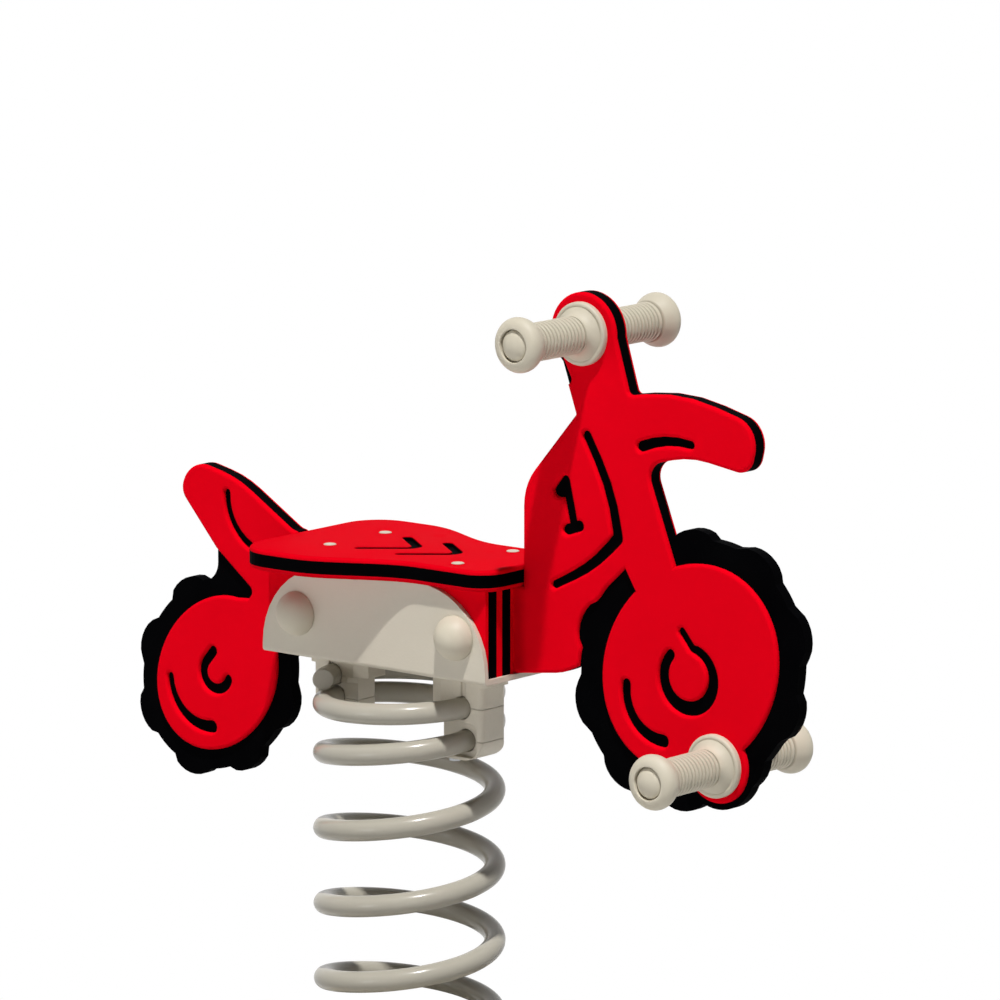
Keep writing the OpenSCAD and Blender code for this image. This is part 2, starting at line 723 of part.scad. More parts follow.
module base_front_foot_jaw() { at_base() jaw(0, front_pass, 0); }
module base_front_middle_jaw() { at_base() jaw(0, front_pass, 1); }
module base_front_toe_jaw() { at_base() jaw(0, front_pass, 2); }
module base_rear_foot_jaw() { at_base() jaw(180, rear_pass, 0); }
module base_rear_middle_jaw() { at_base() jaw(180, rear_pass, 1); }
module base_rear_toe_jaw() { at_base() jaw(180, rear_pass, 2); }
module base_clamp_bolts() { at_base() clamp_bolts(base_t); }

module top_front_foot_jaw() { at_top() jaw(0, front_pass, 0); }
module top_front_middle_jaw() { at_top() jaw(0, front_pass, 1); }
module top_front_toe_jaw() { at_top() jaw(0, front_pass, 2); }
module top_rear_foot_jaw() { at_top() jaw(180, rear_pass, 0); }
module top_rear_middle_jaw() { at_top() jaw(180, rear_pass, 1); }
module top_rear_toe_jaw() { at_top() jaw(180, rear_pass, 2); }
module top_clamp_bolts() { at_top() clamp_bolts(bracket_t); }

/* Coil spring */

wire_steps = ceil(wire_turns * wire_rings);
wire_path = [for (i = [0:wire_steps])
  let (s = -half_turns + wire_turns * i / wire_steps, a = wire_angle(s))
  [coil_r * cos(a), coil_r * sin(a), wire_height(s)]];

// Least gap between the wire and itself, over points at least half a turn apart
half_turn_rings = floor(wire_rings / 2);
wire_self_gap = min([for (i = [0:2:wire_steps - half_turn_rings])
  min([for (j = [i + half_turn_rings:wire_steps]) norm(wire_path[i] - wire_path[j])])]) - wire_d;
echo(wire_self_gap = wire_self_gap);

// Ring of the tube at one point: outward from the coil's axis and up, square to the wire
function wire_ring(i) =
  let (
    s = -half_turns + wire_turns * i / wire_steps,
    a = wire_angle(s),
    rise = atan(wire_pitch(s) / (PI * coil_d)),
    out = [cos(a), sin(a), 0],
    up = [sin(a) * sin(rise), -cos(a) * sin(rise), cos(rise)]
  )
  [for (k = [0:wire_sides - 1])
    wire_path[i] + wire_r * (cos(360 * k / wire_sides) * out + sin(360 * k / wire_sides) * up)];

module spring() {
  n = wire_sides;
  points = [for (i = [0:wire_steps]) each wire_ring(i)];
  walls = [for (i = [0:wire_steps - 1], k = [0:n - 1])
    let (a = i * n + k, b = i * n + (k + 1) % n)
    each [[a, b, a + n], [b, b + n, a + n]]];
  last = wire_steps * n;
  ends = [for (k = [1:n - 2]) each [[0, k, k + 1], [last, last + k + 1, last + k]]];
  color(powder_beige) translate([0, 0, coil_z])
    polyhedron(points = points, faces = concat(walls, ends), convexity = 12);
}

/* Saddle bracket with its bolts */

bracket_w = bracket_in_w + 2 * bracket_t;

module saddle_bracket() {
  color(powder_beige) difference() {
    intersection() {
      translate([saddle_x - bracket_l / 2, 0, bracket_z]) rotate([90, 0, 90])
        linear_extrude(bracket_l)
          difference() {
            polygon(rounded_outline([
              [-bracket_w / 2, 0, bracket_bend_r], [bracket_w / 2, 0, bracket_bend_r],
              [bracket_w / 2, bracket_t + spacer_h, 0], [-bracket_w / 2, bracket_t + spacer_h, 0]]));
            translate([-bracket_in_w / 2, bracket_t])
              square([bracket_in_w, spacer_h + overrun]);
          }
      translate([saddle_x, bracket_w, bracket_z]) rotate([90, 0, 0])
        linear_extrude(2 * bracket_w)
          polygon(rounded_outline([
            [-bracket_l / 2, 0, 0], [bracket_l / 2, 0, 0],
            [bracket_l / 2, bracket_t + spacer_h, bracket_corner_r],
            [-bracket_l / 2, bracket_t + spacer_h, bracket_corner_r]]));
    }
    upright(-bracket_w, bracket_w)
      for (at = through_bolts_at) translate(at) circle(d = through_bolt_d + 2 * hole_fit);
    at_top() clamp_bolt_holes();
  }
}

module through_bolts() {
  color(zinc_steel)
    for (at = through_bolts_at) {
      upright(-bracket_w / 2 - bolt_nut_h, bracket_w / 2 + bolt_nut_h)
        translate(at) circle(d = through_bolt_d);
      for (s = [-1, 1])
        upright(min(s * bracket_w / 2, s * (bracket_w / 2 + bolt_nut_h)),
          max(s * bracket_w / 2, s * (bracket_w / 2 + bolt_nut_h)))
          translate(at) hexagon_2d(bolt_nut_w);
    }
}

cap_hollow_r = bolt_nut_w / sqrt(3) + 2 * hole_fit;
cap_hollow_h = bolt_nut_h + hole_fit;

// Domed cap: a low rim, then an arc that closes on the axis
module bolt_cap(side, at) {
  rise = bolt_cap_h - bolt_cap_rim_h;
  half = bolt_cap_d / 2;
  dome_r = (half * half + rise * rise) / (2 * rise);
  open = asin(half / dome_r);
  color(grip_beige)
    translate([at[0], side * bracket_w / 2, seat_top + at[1]]) rotate([-90 * side, 0, 0])
      difference() {
        rotate_extrude()
          polygon(concat([[0, 0], [half, 0]],
            [for (i = [0:12]) let (a = open * (1 - i / 12))
              [dome_r * sin(a), bolt_cap_h - dome_r * (1 - cos(a))]]));
        translate([0, 0, -overrun]) cylinder(r = cap_hollow_r, h = cap_hollow_h + overrun);
      }
}

module right_front_bolt_cap() { bolt_cap(-1, through_bolts_at[1]); }
module right_rear_bolt_cap() { bolt_cap(-1, through_bolts_at[0]); }
module left_front_bolt_cap() { bolt_cap(1, through_bolts_at[1]); }
module left_rear_bolt_cap() { bolt_cap(1, through_bolts_at[0]); }

/* Main panel */

module main_panel_core() {
  color(black_sheet) upright(-core_t / 2, core_t / 2)
    difference() {
      panel_outline_2d();
      panel_bores_2d();
    }
}

module main_panel_right_skin() {
  color(red_sheet) upright(-sheet_t / 2, -core_t / 2) panel_skin_2d(1);
}

module main_panel_left_skin() {
  color(red_sheet) upright(core_t / 2, sheet_t / 2) panel_skin_2d(-1);
}

/* Spacer sheets under the seat */

seat_screw_y = 2 * sheet_t;
seat_screw_xs = [for (i = [0, 1]) saddle_x - seat_screw_back + i * seat_screw_gap];
seat_shank_l = sheet_t + seat_screw_bite;

module spacer_2d() {
  difference() {
    translate([saddle_x - spacer_l / 2, -floor_drop]) square([spacer_l, spacer_h]);
    for (at = through_bolts_at) translate(at) circle(d = through_bolt_d + 2 * hole_fit);
  }
}

module spacer_core(y, screwed) {
  color(black_sheet) difference() {
    upright(y - core_t / 2, y + core_t / 2) spacer_2d();
    if (screwed) seat_screw_holes();
  }
}

module spacer_skins(y) {
  color(red_sheet) {
    upright(y - sheet_t / 2, y - core_t / 2) spacer_2d();
    upright(y + core_t / 2, y + sheet_t / 2) spacer_2d();
  }
}

module right_inner_spacer_core() { spacer_core(-sheet_t, false); }
module right_inner_spacer_skins() { spacer_skins(-sheet_t); }
module right_outer_spacer_core() { spacer_core(-2 * sheet_t, true); }
module right_outer_spacer_skins() { spacer_skins(-2 * sheet_t); }
module left_inner_spacer_core() { spacer_core(sheet_t, false); }
module left_inner_spacer_skins() { spacer_skins(sheet_t); }
module left_outer_spacer_core() { spacer_core(2 * sheet_t, true); }
module left_outer_spacer_skins() { spacer_skins(2 * sheet_t); }

/* Seat */

waist_steps = 20;

// Half of the seat's outline, from the rear edge round to the front edge
seat_half = concat(
  arc_path([seat_rear + seat_rear_r, seat_rear_w / 2 - seat_rear_r], seat_rear_r, 180, 90),
  [for (i = [0:waist_steps])
    let (u = i / waist_steps)
    [saddle_x + (2 * u - 1) * seat_waist_l / 2,
      seat_front_w / 2 + (seat_rear_w - seat_front_w) / 4 * (1 + cos(180 * u))]],
  arc_path([seat_front - seat_front_r, seat_front_w / 2 - seat_front_r], seat_front_r, 90, 0)
);

module seat_2d() {
  polygon(concat(seat_half, reversed([for (p = seat_half) [p[0], -p[1]]])));
}

// Two plain chevrons routed in the top
module seat_lines_2d() {
  for (s = chevron_shares)
    let (x = saddle_x + s * seat_l, y = chevron_half_share * seat_rear_w)
      polygon(ribbon(bent_path([[x, y, 0],
        [x + chevron_depth_share * seat_l, 0, broad_line_w], [x, -y, 0]]), broad_line_w, broad_line_w));
}

module seat_screw_holes() {
  for (x = seat_screw_xs, y = [-1, 1])
    translate([x, y * seat_screw_y, seat_top - seat_shank_l - hole_fit])
      cylinder(d = seat_shank_d + 2 * hole_fit, h = seat_shank_l + hole_fit + overrun);
}

module seat_core() {
  color(black_sheet) difference() {
    flat(seat_z + skin_t, seat_top - skin_t) seat_2d();
    seat_screw_holes();
  }
}

module seat_top_skin() {
  color(red_sheet) difference() {
    flat(seat_top - skin_t, seat_top) difference() {
      seat_2d();
      seat_lines_2d();
    }
    seat_screw_holes();
  }
}

module seat_bottom_skin() {
  color(red_sheet) difference() {
    flat(seat_z, seat_z + skin_t) seat_2d();
    seat_screw_holes();
  }
}

// Low domed heads on the seat, shanks down into the outer spacers
module seat_screws() {
  color(zinc_steel)
    for (x = seat_screw_xs, y = [-1, 1])
      translate([x, y * seat_screw_y, seat_top])
        rotate_extrude()
          polygon(concat([[0, -seat_shank_l], [seat_shank_d / 2, -seat_shank_l], [seat_shank_d / 2, 0]],
            [for (a = [0:15:90]) [seat_screw_head_d / 2 * cos(a), seat_screw_head_h * sin(a)]]));
}

/* Handle and footrests */

rod_r = rod_d / 2;
button_r = grip_button_d / 2;
pocket_r = rod_nut_w / sqrt(3) + 4 * hole_fit;
pocket_floor = grip_l - grip_button_t - rod_nut_h - 2 * hole_fit;
rod_half_l = sheet_t / 2 + pocket_floor + rod_nut_h;

// Half section of a grip, out from the rod and along it from the panel's face
function grip_section() =
  let (
    flange_r = grip_flange_d / 2,
    tube_r = grip_tube_d / 2,
    knob_r = grip_knob_d / 2,
    edge = grip_flange_edge_r,
    tube_from = grip_flange_t + grip_fillet_r,
    tube_to = grip_l - grip_knob_l,
    steps = 6 * grip_ribs,
    nose = grip_knob_l - grip_flare_l
  )
  concat(
    [[rod_r + hole_fit, 0], [flange_r, 0]],
    [for (a = [0:30:90]) [flange_r - edge + edge * cos(a), grip_flange_t - edge + edge * sin(a)]],
    [for (a = [270:-30:180]) [tube_r + grip_fillet_r + grip_fillet_r * cos(a),
      tube_from + grip_fillet_r * sin(a)]],
    [for (i = [1:steps])
      [tube_r - grip_rib_depth * (1 - cos(360 * i / 6)) / 2,
        tube_from + (tube_to - tube_from) * i / steps]],
    [for (i = [1:8]) let (u = i / 8)
      [tube_r + (knob_r - tube_r) * (1 - cos(180 * u)) / 2, tube_to + grip_flare_l * u]],
    [for (a = [15:15:75]) [button_r + hole_fit + (knob_r - button_r - hole_fit) * cos(a),
      grip_l - nose + nose * sin(a)]],
    [[button_r + hole_fit, grip_l], [button_r + hole_fit, grip_l - grip_button_t],
      [pocket_r, grip_l - grip_button_t], [pocket_r, pocket_floor], [rod_r + hole_fit, pocket_floor]]
  );

// Turns a piece drawn upwards so that it points out of one side of the panel
module out_of_panel(side, at, from) {
  translate([at[0], side * from, seat_top + at[1]]) rotate([-90 * side, 0, 0]) children();
}

module grip(side, at) {
  color(grip_beige) out_of_panel(side, at, sheet_t / 2)
    rotate_extrude() polygon(grip_section());
}

// Button that hides the nut, with a low dome
module grip_button(side, at) {
  dome = grip_button_dome;
  dome_r = (button_r * button_r + dome * dome) / (2 * dome);
  open = asin(button_r / dome_r);
  color(grip_beige) out_of_panel(side, at, sheet_t / 2 + grip_l - grip_button_t)
    rotate_extrude()
      polygon(concat([[0, 0], [button_r, 0]],
        [for (i = [0:8]) let (a = open * (1 - i / 8))
          [dome_r * sin(a), grip_button_t + dome - dome_r * (1 - cos(a))]]));
}

module rod(at) {
  color(zinc_steel) upright(-rod_half_l, rod_half_l) translate(at) circle(r = rod_r);
}

module rod_nuts() {
  color(zinc_steel)
    for (at = [handle, foot], side = [-1, 1])
      out_of_panel(side, at, sheet_t / 2 + pocket_floor)
        linear_extrude(rod_nut_h) difference() {
          hexagon_2d(rod_nut_w);
          circle(r = rod_r);
        }
}

module handle_rod() { rod(handle); }
module footrest_rod() { rod(foot); }
module right_handle_grip() { grip(-1, handle); }
module left_handle_grip() { grip(1, handle); }
module right_footrest_grip() { grip(-1, foot); }
module left_footrest_grip() { grip(1, foot); }
module right_handle_button() { grip_button(-1, handle); }
module left_handle_button() { grip_button(1, handle); }
module right_footrest_button() { grip_button(-1, foot); }
module left_footrest_button() { grip_button(1, foot); }

base_plate();
base_front_foot_jaw();
base_front_middle_jaw();
base_front_toe_jaw();
base_rear_foot_jaw();
base_rear_middle_jaw();
base_rear_toe_jaw();
base_clamp_bolts();
spring();
top_front_foot_jaw();
top_front_middle_jaw();
top_front_toe_jaw();
top_rear_foot_jaw();
top_rear_middle_jaw();
top_rear_toe_jaw();
top_clamp_bolts();
saddle_bracket();
through_bolts();
right_front_bolt_cap();
right_rear_bolt_cap();
left_front_bolt_cap();
left_rear_bolt_cap();
main_panel_core();
main_panel_right_skin();
main_panel_left_skin();
right_inner_spacer_core();
right_inner_spacer_skins();
right_outer_spacer_core();
right_outer_spacer_skins();
left_inner_spacer_core();
left_inner_spacer_skins();
left_outer_spacer_core();
left_outer_spacer_skins();
seat_core();
seat_top_skin();
seat_bottom_skin();
seat_screws();
handle_rod();
footrest_rod();
rod_nuts();
right_handle_grip();
left_handle_grip();
right_footrest_grip();
left_footrest_grip();
right_handle_button();
left_handle_button();
right_footrest_button();
left_footrest_button();
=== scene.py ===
"""Looks of a motorbike-shaped spring rider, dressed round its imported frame."""

import bmesh
import bpy
import numpy as np
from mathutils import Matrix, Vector, geometry


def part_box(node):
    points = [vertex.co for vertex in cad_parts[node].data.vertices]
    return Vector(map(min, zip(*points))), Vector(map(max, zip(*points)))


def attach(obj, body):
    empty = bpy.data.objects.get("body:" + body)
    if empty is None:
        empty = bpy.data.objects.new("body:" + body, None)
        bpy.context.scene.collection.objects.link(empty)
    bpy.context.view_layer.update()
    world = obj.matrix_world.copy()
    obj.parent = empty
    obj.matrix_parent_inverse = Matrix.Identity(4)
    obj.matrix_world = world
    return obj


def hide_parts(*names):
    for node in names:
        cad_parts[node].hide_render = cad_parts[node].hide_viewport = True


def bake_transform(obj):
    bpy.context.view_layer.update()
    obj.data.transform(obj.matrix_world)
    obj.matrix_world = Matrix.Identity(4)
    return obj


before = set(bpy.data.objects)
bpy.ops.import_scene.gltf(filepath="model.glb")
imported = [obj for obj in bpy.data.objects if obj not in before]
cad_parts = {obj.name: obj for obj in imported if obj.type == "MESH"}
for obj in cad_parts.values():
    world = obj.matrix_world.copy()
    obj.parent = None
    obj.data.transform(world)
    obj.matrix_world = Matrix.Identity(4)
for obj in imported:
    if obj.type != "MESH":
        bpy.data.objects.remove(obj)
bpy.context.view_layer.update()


# Base plate
# A square of 10 mm steel plate with round corners, drilled for four ground bolts.
# It is powder coated beige, which leaves a fine peel and softly rounded edges.

plate_dark = (190, 182, 165)
plate_light = (210, 202, 185)
plate_roughness = 0.42
plate_edge_r = 0.0012
coat_clouds = 7.0
coat_cloud_share = 0.8
coat_dimples = 520.0
coat_dimple_share = 0.25
coat_dimple_h = 0.00012
coat_specks = 1900.0
coat_speck_band = (0.70, 0.78)
coat_speck_share = 0.35
coat_dulling = 0.16
edge_samples = 6


class Wire:
    """One output socket of a shader node; arithmetic on it adds Math nodes to its tree."""

    def __init__(self, socket):
        self.socket = socket

    def node(self, kind, settings, sockets, out=0):
        """A new node with its settings and then its sockets filled with values or wires."""
        tree = self.socket.id_data
        made = tree.nodes.new(kind)
        for name, value in settings.items():
            setattr(made, name, value)
        for key, value in sockets.items():
            if isinstance(value, Wire):
                tree.links.new(value.socket, made.inputs[key])
            else:
                made.inputs[key].default_value = value
        return Wire(made.outputs[out])

    def maths(self, operation, first, second):
        """Two values put together by one Math node."""
        return self.node("ShaderNodeMath", {"operation": operation}, {0: first, 1: second})

    def __add__(self, other):
        return self.maths("ADD", self, other)

    __radd__ = __add__

    def __mul__(self, other):
        return self.maths("MULTIPLY", self, other)

    __rmul__ = __mul__

    def __sub__(self, other):
        return self.maths("SUBTRACT", self, other)

    def __rsub__(self, other):
        return self.maths("SUBTRACT", other, self)

    def at_least(self, other):
        """The larger of the two values."""
        return self.maths("MAXIMUM", self, other)

    def around(self, middle, spread):
        """This value, which lies round a half, moved to lie round middle over that spread."""
        return self * spread + (middle - spread / 2)

    def noise(self, scale, detail):
        """Cloudy value round a half, with features of about one over scale metres."""
        return self.node("ShaderNodeTexNoise", {}, {"Vector": self, "Scale": scale, "Detail": detail})

    def stretched(self, along):
        """The same coordinates scaled differently along each axis."""
        return self.node("ShaderNodeMapping", {}, {"Vector": self, "Scale": along})

    def step(self, low, high):
        """Zero below low and one above high, smooth between them."""
        return self.node("ShaderNodeMapRange", {"interpolation_type": "SMOOTHSTEP"},
                         {"Value": self, "From Min": low, "From Max": high})

    def tint(self, dark, light):
        """Colour between dark and light by this value: sockets 6 and 7 of a Mix node are its colours."""
        return self.node("ShaderNodeMix", {"data_type": "RGBA", "clamp_factor": True},
                         {0: self, 6: dark, 7: light}, out=2)

    def bump(self, depth, normal):
        """Normal of a surface raised by this value times depth metres."""
        return self.node("ShaderNodeBump", {}, {"Height": self, "Distance": depth, "Normal": normal})

    def soft_edge(self, radius):
        """Normal of the surface with its edges rounded to that radius."""
        return self.node("ShaderNodeBevel", {"samples": edge_samples}, {"Radius": radius})

    def surface(self, **sockets):
        """Ends the material in a principled surface with these sockets."""
        names = {key.replace("_", " "): value for key, value in sockets.items()}
        self.node("ShaderNodeBsdfPrincipled", {}, names).show()

    def show(self):
        """Makes this shader the one that its material, or the world, puts out."""
        tree = self.socket.id_data
        tree.links.new(self.socket, tree.get_output_node("ALL").inputs["Surface"])


def new_finish(name):
    """An empty material and the wire of its object coordinates."""
    finish = bpy.data.materials.new(name)
    finish.use_nodes = True
    finish.node_tree.nodes.remove(finish.node_tree.nodes["Principled BSDF"])
    coordinates = finish.node_tree.nodes.new("ShaderNodeTexCoord")
    return finish, Wire(coordinates.outputs["Object"])


def screen_colour(shade):
    """Linear colour of a shade read off a screen, 0 to 255, by the screen's own curve."""
    share = np.array(shade) / 255
    linear = np.where(share <= 0.04045, share / 12.92, ((share + 0.055) / 1.055) ** 2.4)
    return (*linear.tolist(), 1.0)


def powder_coat(name, dark, light, roughness, edge_r):
    """Satin coat: cloudy tone, a fine peel, a few specks, a little dust-dull roughness and soft edges."""
    finish, place = new_finish(name)
    cloud = place.noise(coat_clouds, detail=4.0)
    peel = place.noise(coat_dimples, detail=2.0)
    speck = place.noise(coat_specks, detail=0.0).step(*coat_speck_band)
    share = cloud * coat_cloud_share + peel * coat_dimple_share - speck * coat_speck_share
    place.surface(Base_Color=share.tint(screen_colour(dark), screen_colour(light)),
                  Roughness=cloud.around(roughness, coat_dulling),
                  Normal=peel.bump(coat_dimple_h, place.soft_edge(edge_r)))
    return finish


def dress(finish, *names):
    """Gives CAD nodes a finish."""
    for name in names:
        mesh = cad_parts[name].data
        mesh.materials.clear()
        mesh.materials.append(finish)


dress(powder_coat("beige_plate_coat", plate_dark, plate_light, plate_roughness, plate_edge_r), "base_plate")


# Clamps of the coil
# Each end of the coil is held by two stacks of three cast jaws, bolted to the plate or the bracket.
# The castings are a little rougher than the plate and have the same beige coat.

jaw_dark = (192, 184, 167)
jaw_light = (216, 208, 191)
jaw_roughness = 0.46
jaw_edge_r = 0.0020

jaw_coat = powder_coat("beige_jaw_coat", jaw_dark, jaw_light, jaw_roughness, jaw_edge_r)
for end in ("base", "top"):
    for place in ("front", "rear"):
        for jaw in ("foot", "middle", "toe"):
            dress(jaw_coat, f"{end}_{place}_{jaw}_jaw")


# Clamp bolts, through bolts, rods and nuts
# Zinc plated steel, drawn or rolled, with a cloudy grey passivation.
# They hold the jaws to plate and bracket, the boards in the bracket and the grips on the panel.

zinc_dark = (150, 152, 155)
zinc_light = (196, 198, 200)
zinc_roughness = 0.38
zinc_dulling = 0.2
zinc_clouds = 130.0
drawn_lines = (300.0, 40.0, 3000.0)
drawn_h = 0.00004
bolt_edge_r = 0.0005


def zinc_plate(name):
    """Grey metal with cloudy patches and fine drawn lines."""
    finish, place = new_finish(name)
    cloud = place.noise(zinc_clouds, detail=3.0)
    drawn = place.stretched(drawn_lines).noise(1.0, detail=2.0)
    tone = cloud.tint(screen_colour(zinc_dark), screen_colour(zinc_light))
    place.surface(Base_Color=tone, Metallic=1.0, Roughness=cloud.around(zinc_roughness, zinc_dulling),
                  Normal=drawn.bump(drawn_h, place.soft_edge(bolt_edge_r)))
    return finish


zinc = zinc_plate("zinc_plated_steel")
dress(zinc, "base_clamp_bolts", "top_clamp_bolts", "through_bolts")
dress(zinc, "handle_rod", "footrest_rod", "rod_nuts")


# Coil spring
# One 20 mm wire of spring steel wound on a 160 mm circle, its end turns closed and clamped.
# It has a thick glossy coat. It is made as two halves, cut flat at the middle of the coil.

wire_d = 0.020
coil_d = 0.160
open_pitch = 0.072
closed_gap = 0.0015
full_turns = 6
end_lap = 39
closed_turns = 1
ramp_turns = 1
jaw_wall = 0.0095
base_t = 0.010
wire_edge = 0.0015
rings_a_turn = 96
wire_sides = 40
rim_steps = 5
slope_step = 1e-4
hard_edge = 0.7
weld_gap = 1e-7
flat_gap = 1e-8
spring_dark = (160, 155, 142)
spring_light = (180, 175, 162)
spring_roughness = 0.30
spring_dulling = 0.12
spring_gloss = 0.45
spring_clouds = 9.0
spring_cloud_share = 0.9
dip_waves = 60.0
dip_wave_h = 0.00025
spring_specks = 900.0
spring_speck_band = (0.66, 0.74)
spring_speck_share = 0.25
speck_dulling = 0.2
wire_soft_r = 0.0002

half_turns = full_turns / 2 + (180 + end_lap) / 360
open_half = half_turns - closed_turns - ramp_turns
closed_pitch = wire_d + closed_gap


def wire_rise(turn):
    """Height over the coil's middle: open pitch, then a pitch that falls evenly over the ramp, then
    the closed pitch of the end turn."""
    away = np.abs(turn)
    on_ramp = np.clip(away - open_half, 0, ramp_turns)
    on_end = np.maximum(away - open_half - ramp_turns, 0)
    slowing = (open_pitch - closed_pitch) * on_ramp ** 2 / (2 * ramp_turns)
    climb = open_pitch * (np.minimum(away, open_half) + on_ramp) - slowing + closed_pitch * on_end
    return np.sign(turn) * climb


coil_z = base_t + jaw_wall + wire_d / 2 + float(wire_rise(np.array(half_turns)))


def wire_tube(stop):
    """Circle of the wire carried along the helix from the middle of the coil, where it is cut flat,
    to one end, which closes in a rounded rim and a flat face."""
    turn = np.linspace(0, stop, int(abs(stop) * rings_a_turn) + 1)[:-1]
    bend = np.linspace(0, np.pi / 2, rim_steps)
    rim_r = wire_d / 2 - wire_edge * (1 - np.cos(bend))
    rim_out = wire_edge * (np.sin(bend) - 1) * np.sign(stop)
    radius = np.concatenate([[0], np.full(len(turn), wire_d / 2), rim_r, [0]])
    along = np.concatenate([np.zeros(len(turn) + 1), rim_out, rim_out[-1:]])
    turn = np.concatenate([[0], turn, np.full(rim_steps + 1, stop)])
    angle = np.radians(180 + end_lap) - 2 * np.pi * (half_turns - turn)
    pitch = (wire_rise(turn + slope_step) - wire_rise(turn - slope_step)) / (2 * slope_step)
    rise = np.arctan2(pitch, np.pi * coil_d)
    out = np.stack([np.cos(angle), np.sin(angle), 0 * angle], 1)
    ahead = np.stack([-np.sin(angle) * np.cos(rise), np.cos(angle) * np.cos(rise), np.sin(rise)], 1)
    up = np.cross(out, ahead)
    middle = coil_d / 2 * out + np.stack([0 * angle, 0 * angle, coil_z + wire_rise(turn)], 1)
    middle += along[:, None] * ahead
    side = np.linspace(0, 2 * np.pi, wire_sides, endpoint=False)[None, :, None]
    ring = np.cos(side) * out[:, None] + np.sin(side) * up[:, None]
    return middle[:, None] + radius[:, None, None] * ring


def finish_mesh(mesh, sharp):
    """Closes seams and poles, turns the faces outwards and keeps edges sharper than that angle hard."""
    work = bmesh.new()
    work.from_mesh(mesh)
    bmesh.ops.remove_doubles(work, verts=work.verts, dist=weld_gap)
    bmesh.ops.dissolve_degenerate(work, edges=work.edges, dist=flat_gap)
    bmesh.ops.recalc_face_normals(work, faces=work.faces)
    work.to_mesh(mesh)
    work.free()
    mesh.polygons.foreach_set("use_smooth", np.ones(len(mesh.polygons), bool))
    mesh.set_sharp_from_angle(angle=sharp)
    return mesh


def grid_quads(high, wide):
    """Faces on a grid of points: each row joins the next one, and a row's ends join each other."""
    index = np.arange(high * wide).reshape(high, wide)
    right = np.roll(index, -1, 1)
    return np.stack([index[:-1], right[:-1], right[1:], index[1:]], -1).reshape(-1, 4)


def surface_mesh(name, rows, sharp=hard_edge, groove_shade=None):
    """Mesh on a grid of points. The last argument is painted shade: a value for each row, which the finish
    reads.
    """
    high, wide = rows.shape[:2]
    quads = grid_quads(high, wide)
    mesh = bpy.data.meshes.new(name)
    mesh.vertices.add(high * wide)
    mesh.vertices.foreach_set("co", rows.astype(np.float32).ravel())
    mesh.loops.add(quads.size)
    mesh.loops.foreach_set("vertex_index", quads.ravel().astype(np.int32))
    mesh.polygons.add(len(quads))
    mesh.polygons.foreach_set("loop_start", np.arange(0, quads.size, 4, dtype=np.int32))
    mesh.update(calc_edges=True)
    if groove_shade is not None:
        shade_values = mesh.attributes.new("groove_shade", "FLOAT", "POINT")
        shade_values.data.foreach_set("value", np.repeat(groove_shade, wide).astype(np.float32))
    return finish_mesh(mesh, sharp)


def add_piece(name, mesh, finish, slot, *nodes):
    """Puts a finished mesh into the scene in place of CAD nodes."""
    mesh.materials.append(finish)
    piece = bpy.data.objects.new(name, mesh)
    bpy.context.scene.collection.objects.link(piece)
    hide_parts(*nodes)
    return piece


def spring_coat(name):
    """Thick glossy beige coat: long soft waves from dipping, a few dull specks."""
    finish, place = new_finish(name)
    cloud = place.noise(spring_clouds, detail=3.0)
    wave = place.noise(dip_waves, detail=2.0)
    speck = place.noise(spring_specks, detail=1.0).step(*spring_speck_band)
    share = cloud * spring_cloud_share - speck * spring_speck_share
    dull = cloud.around(spring_roughness, spring_dulling) + speck * speck_dulling
    place.surface(Base_Color=share.tint(screen_colour(spring_dark), screen_colour(spring_light)),
                  Roughness=dull, Coat_Weight=spring_gloss - speck * spring_speck_share,
                  Coat_Roughness=0.2, Specular_IOR_Level=0.04,
                  Normal=wave.bump(dip_wave_h, place.soft_edge(wire_soft_r)))
    return finish


gloss_coat = spring_coat("glossy_spring_coat")
lower_half = add_piece("spring_lower_half", surface_mesh("spring_lower_half", wire_tube(-half_turns)),
                       gloss_coat, "spring_coating", "spring")
upper_half = add_piece("spring_upper_half", surface_mesh("spring_upper_half", wire_tube(half_turns)),
                       gloss_coat, "spring_coating", "spring")
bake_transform(lower_half)
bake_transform(upper_half)


# Saddle bracket
# One 5 mm plate bent to a channel round the five boards, with large round upper corners.
# Cut, bent and powder coated like the base plate.

bracket_dark = (196, 188, 171)
bracket_light = (206, 198, 181)
bracket_roughness = 0.40
bracket_edge_r = 0.0010

bracket_coat = powder_coat("beige_bracket_coat", bracket_dark, bracket_light,
                           bracket_roughness, bracket_edge_r)
dress(bracket_coat, "saddle_bracket")


# Domed bolt caps
# Moulded plastic domes that snap over the nuts of the two through bolts, on both sides.
# A short straight rim stands on the bracket, and the dome closes over it in one arc.

cap_rim_h = 0.0019
cap_rim_edge = 0.0006
cap_dome_steps = 28
turned_sides = 96
plastic_dark = (192, 184, 165)
plastic_light = (208, 200, 181)
plastic_roughness = 0.52
plastic_dulling = 0.14
plastic_clouds = 16.0
plastic_cloud_share = 0.7
spark_grain = 1500.0
spark_grain_share = 0.3
spark_grain_h = 0.00005
parting_edge_r = 0.0004
# Painted shade for the bottoms of the grip grooves: its colour and its greatest share.
groove_shade_colour = (112, 102, 86)
groove_shade_share = 0.45


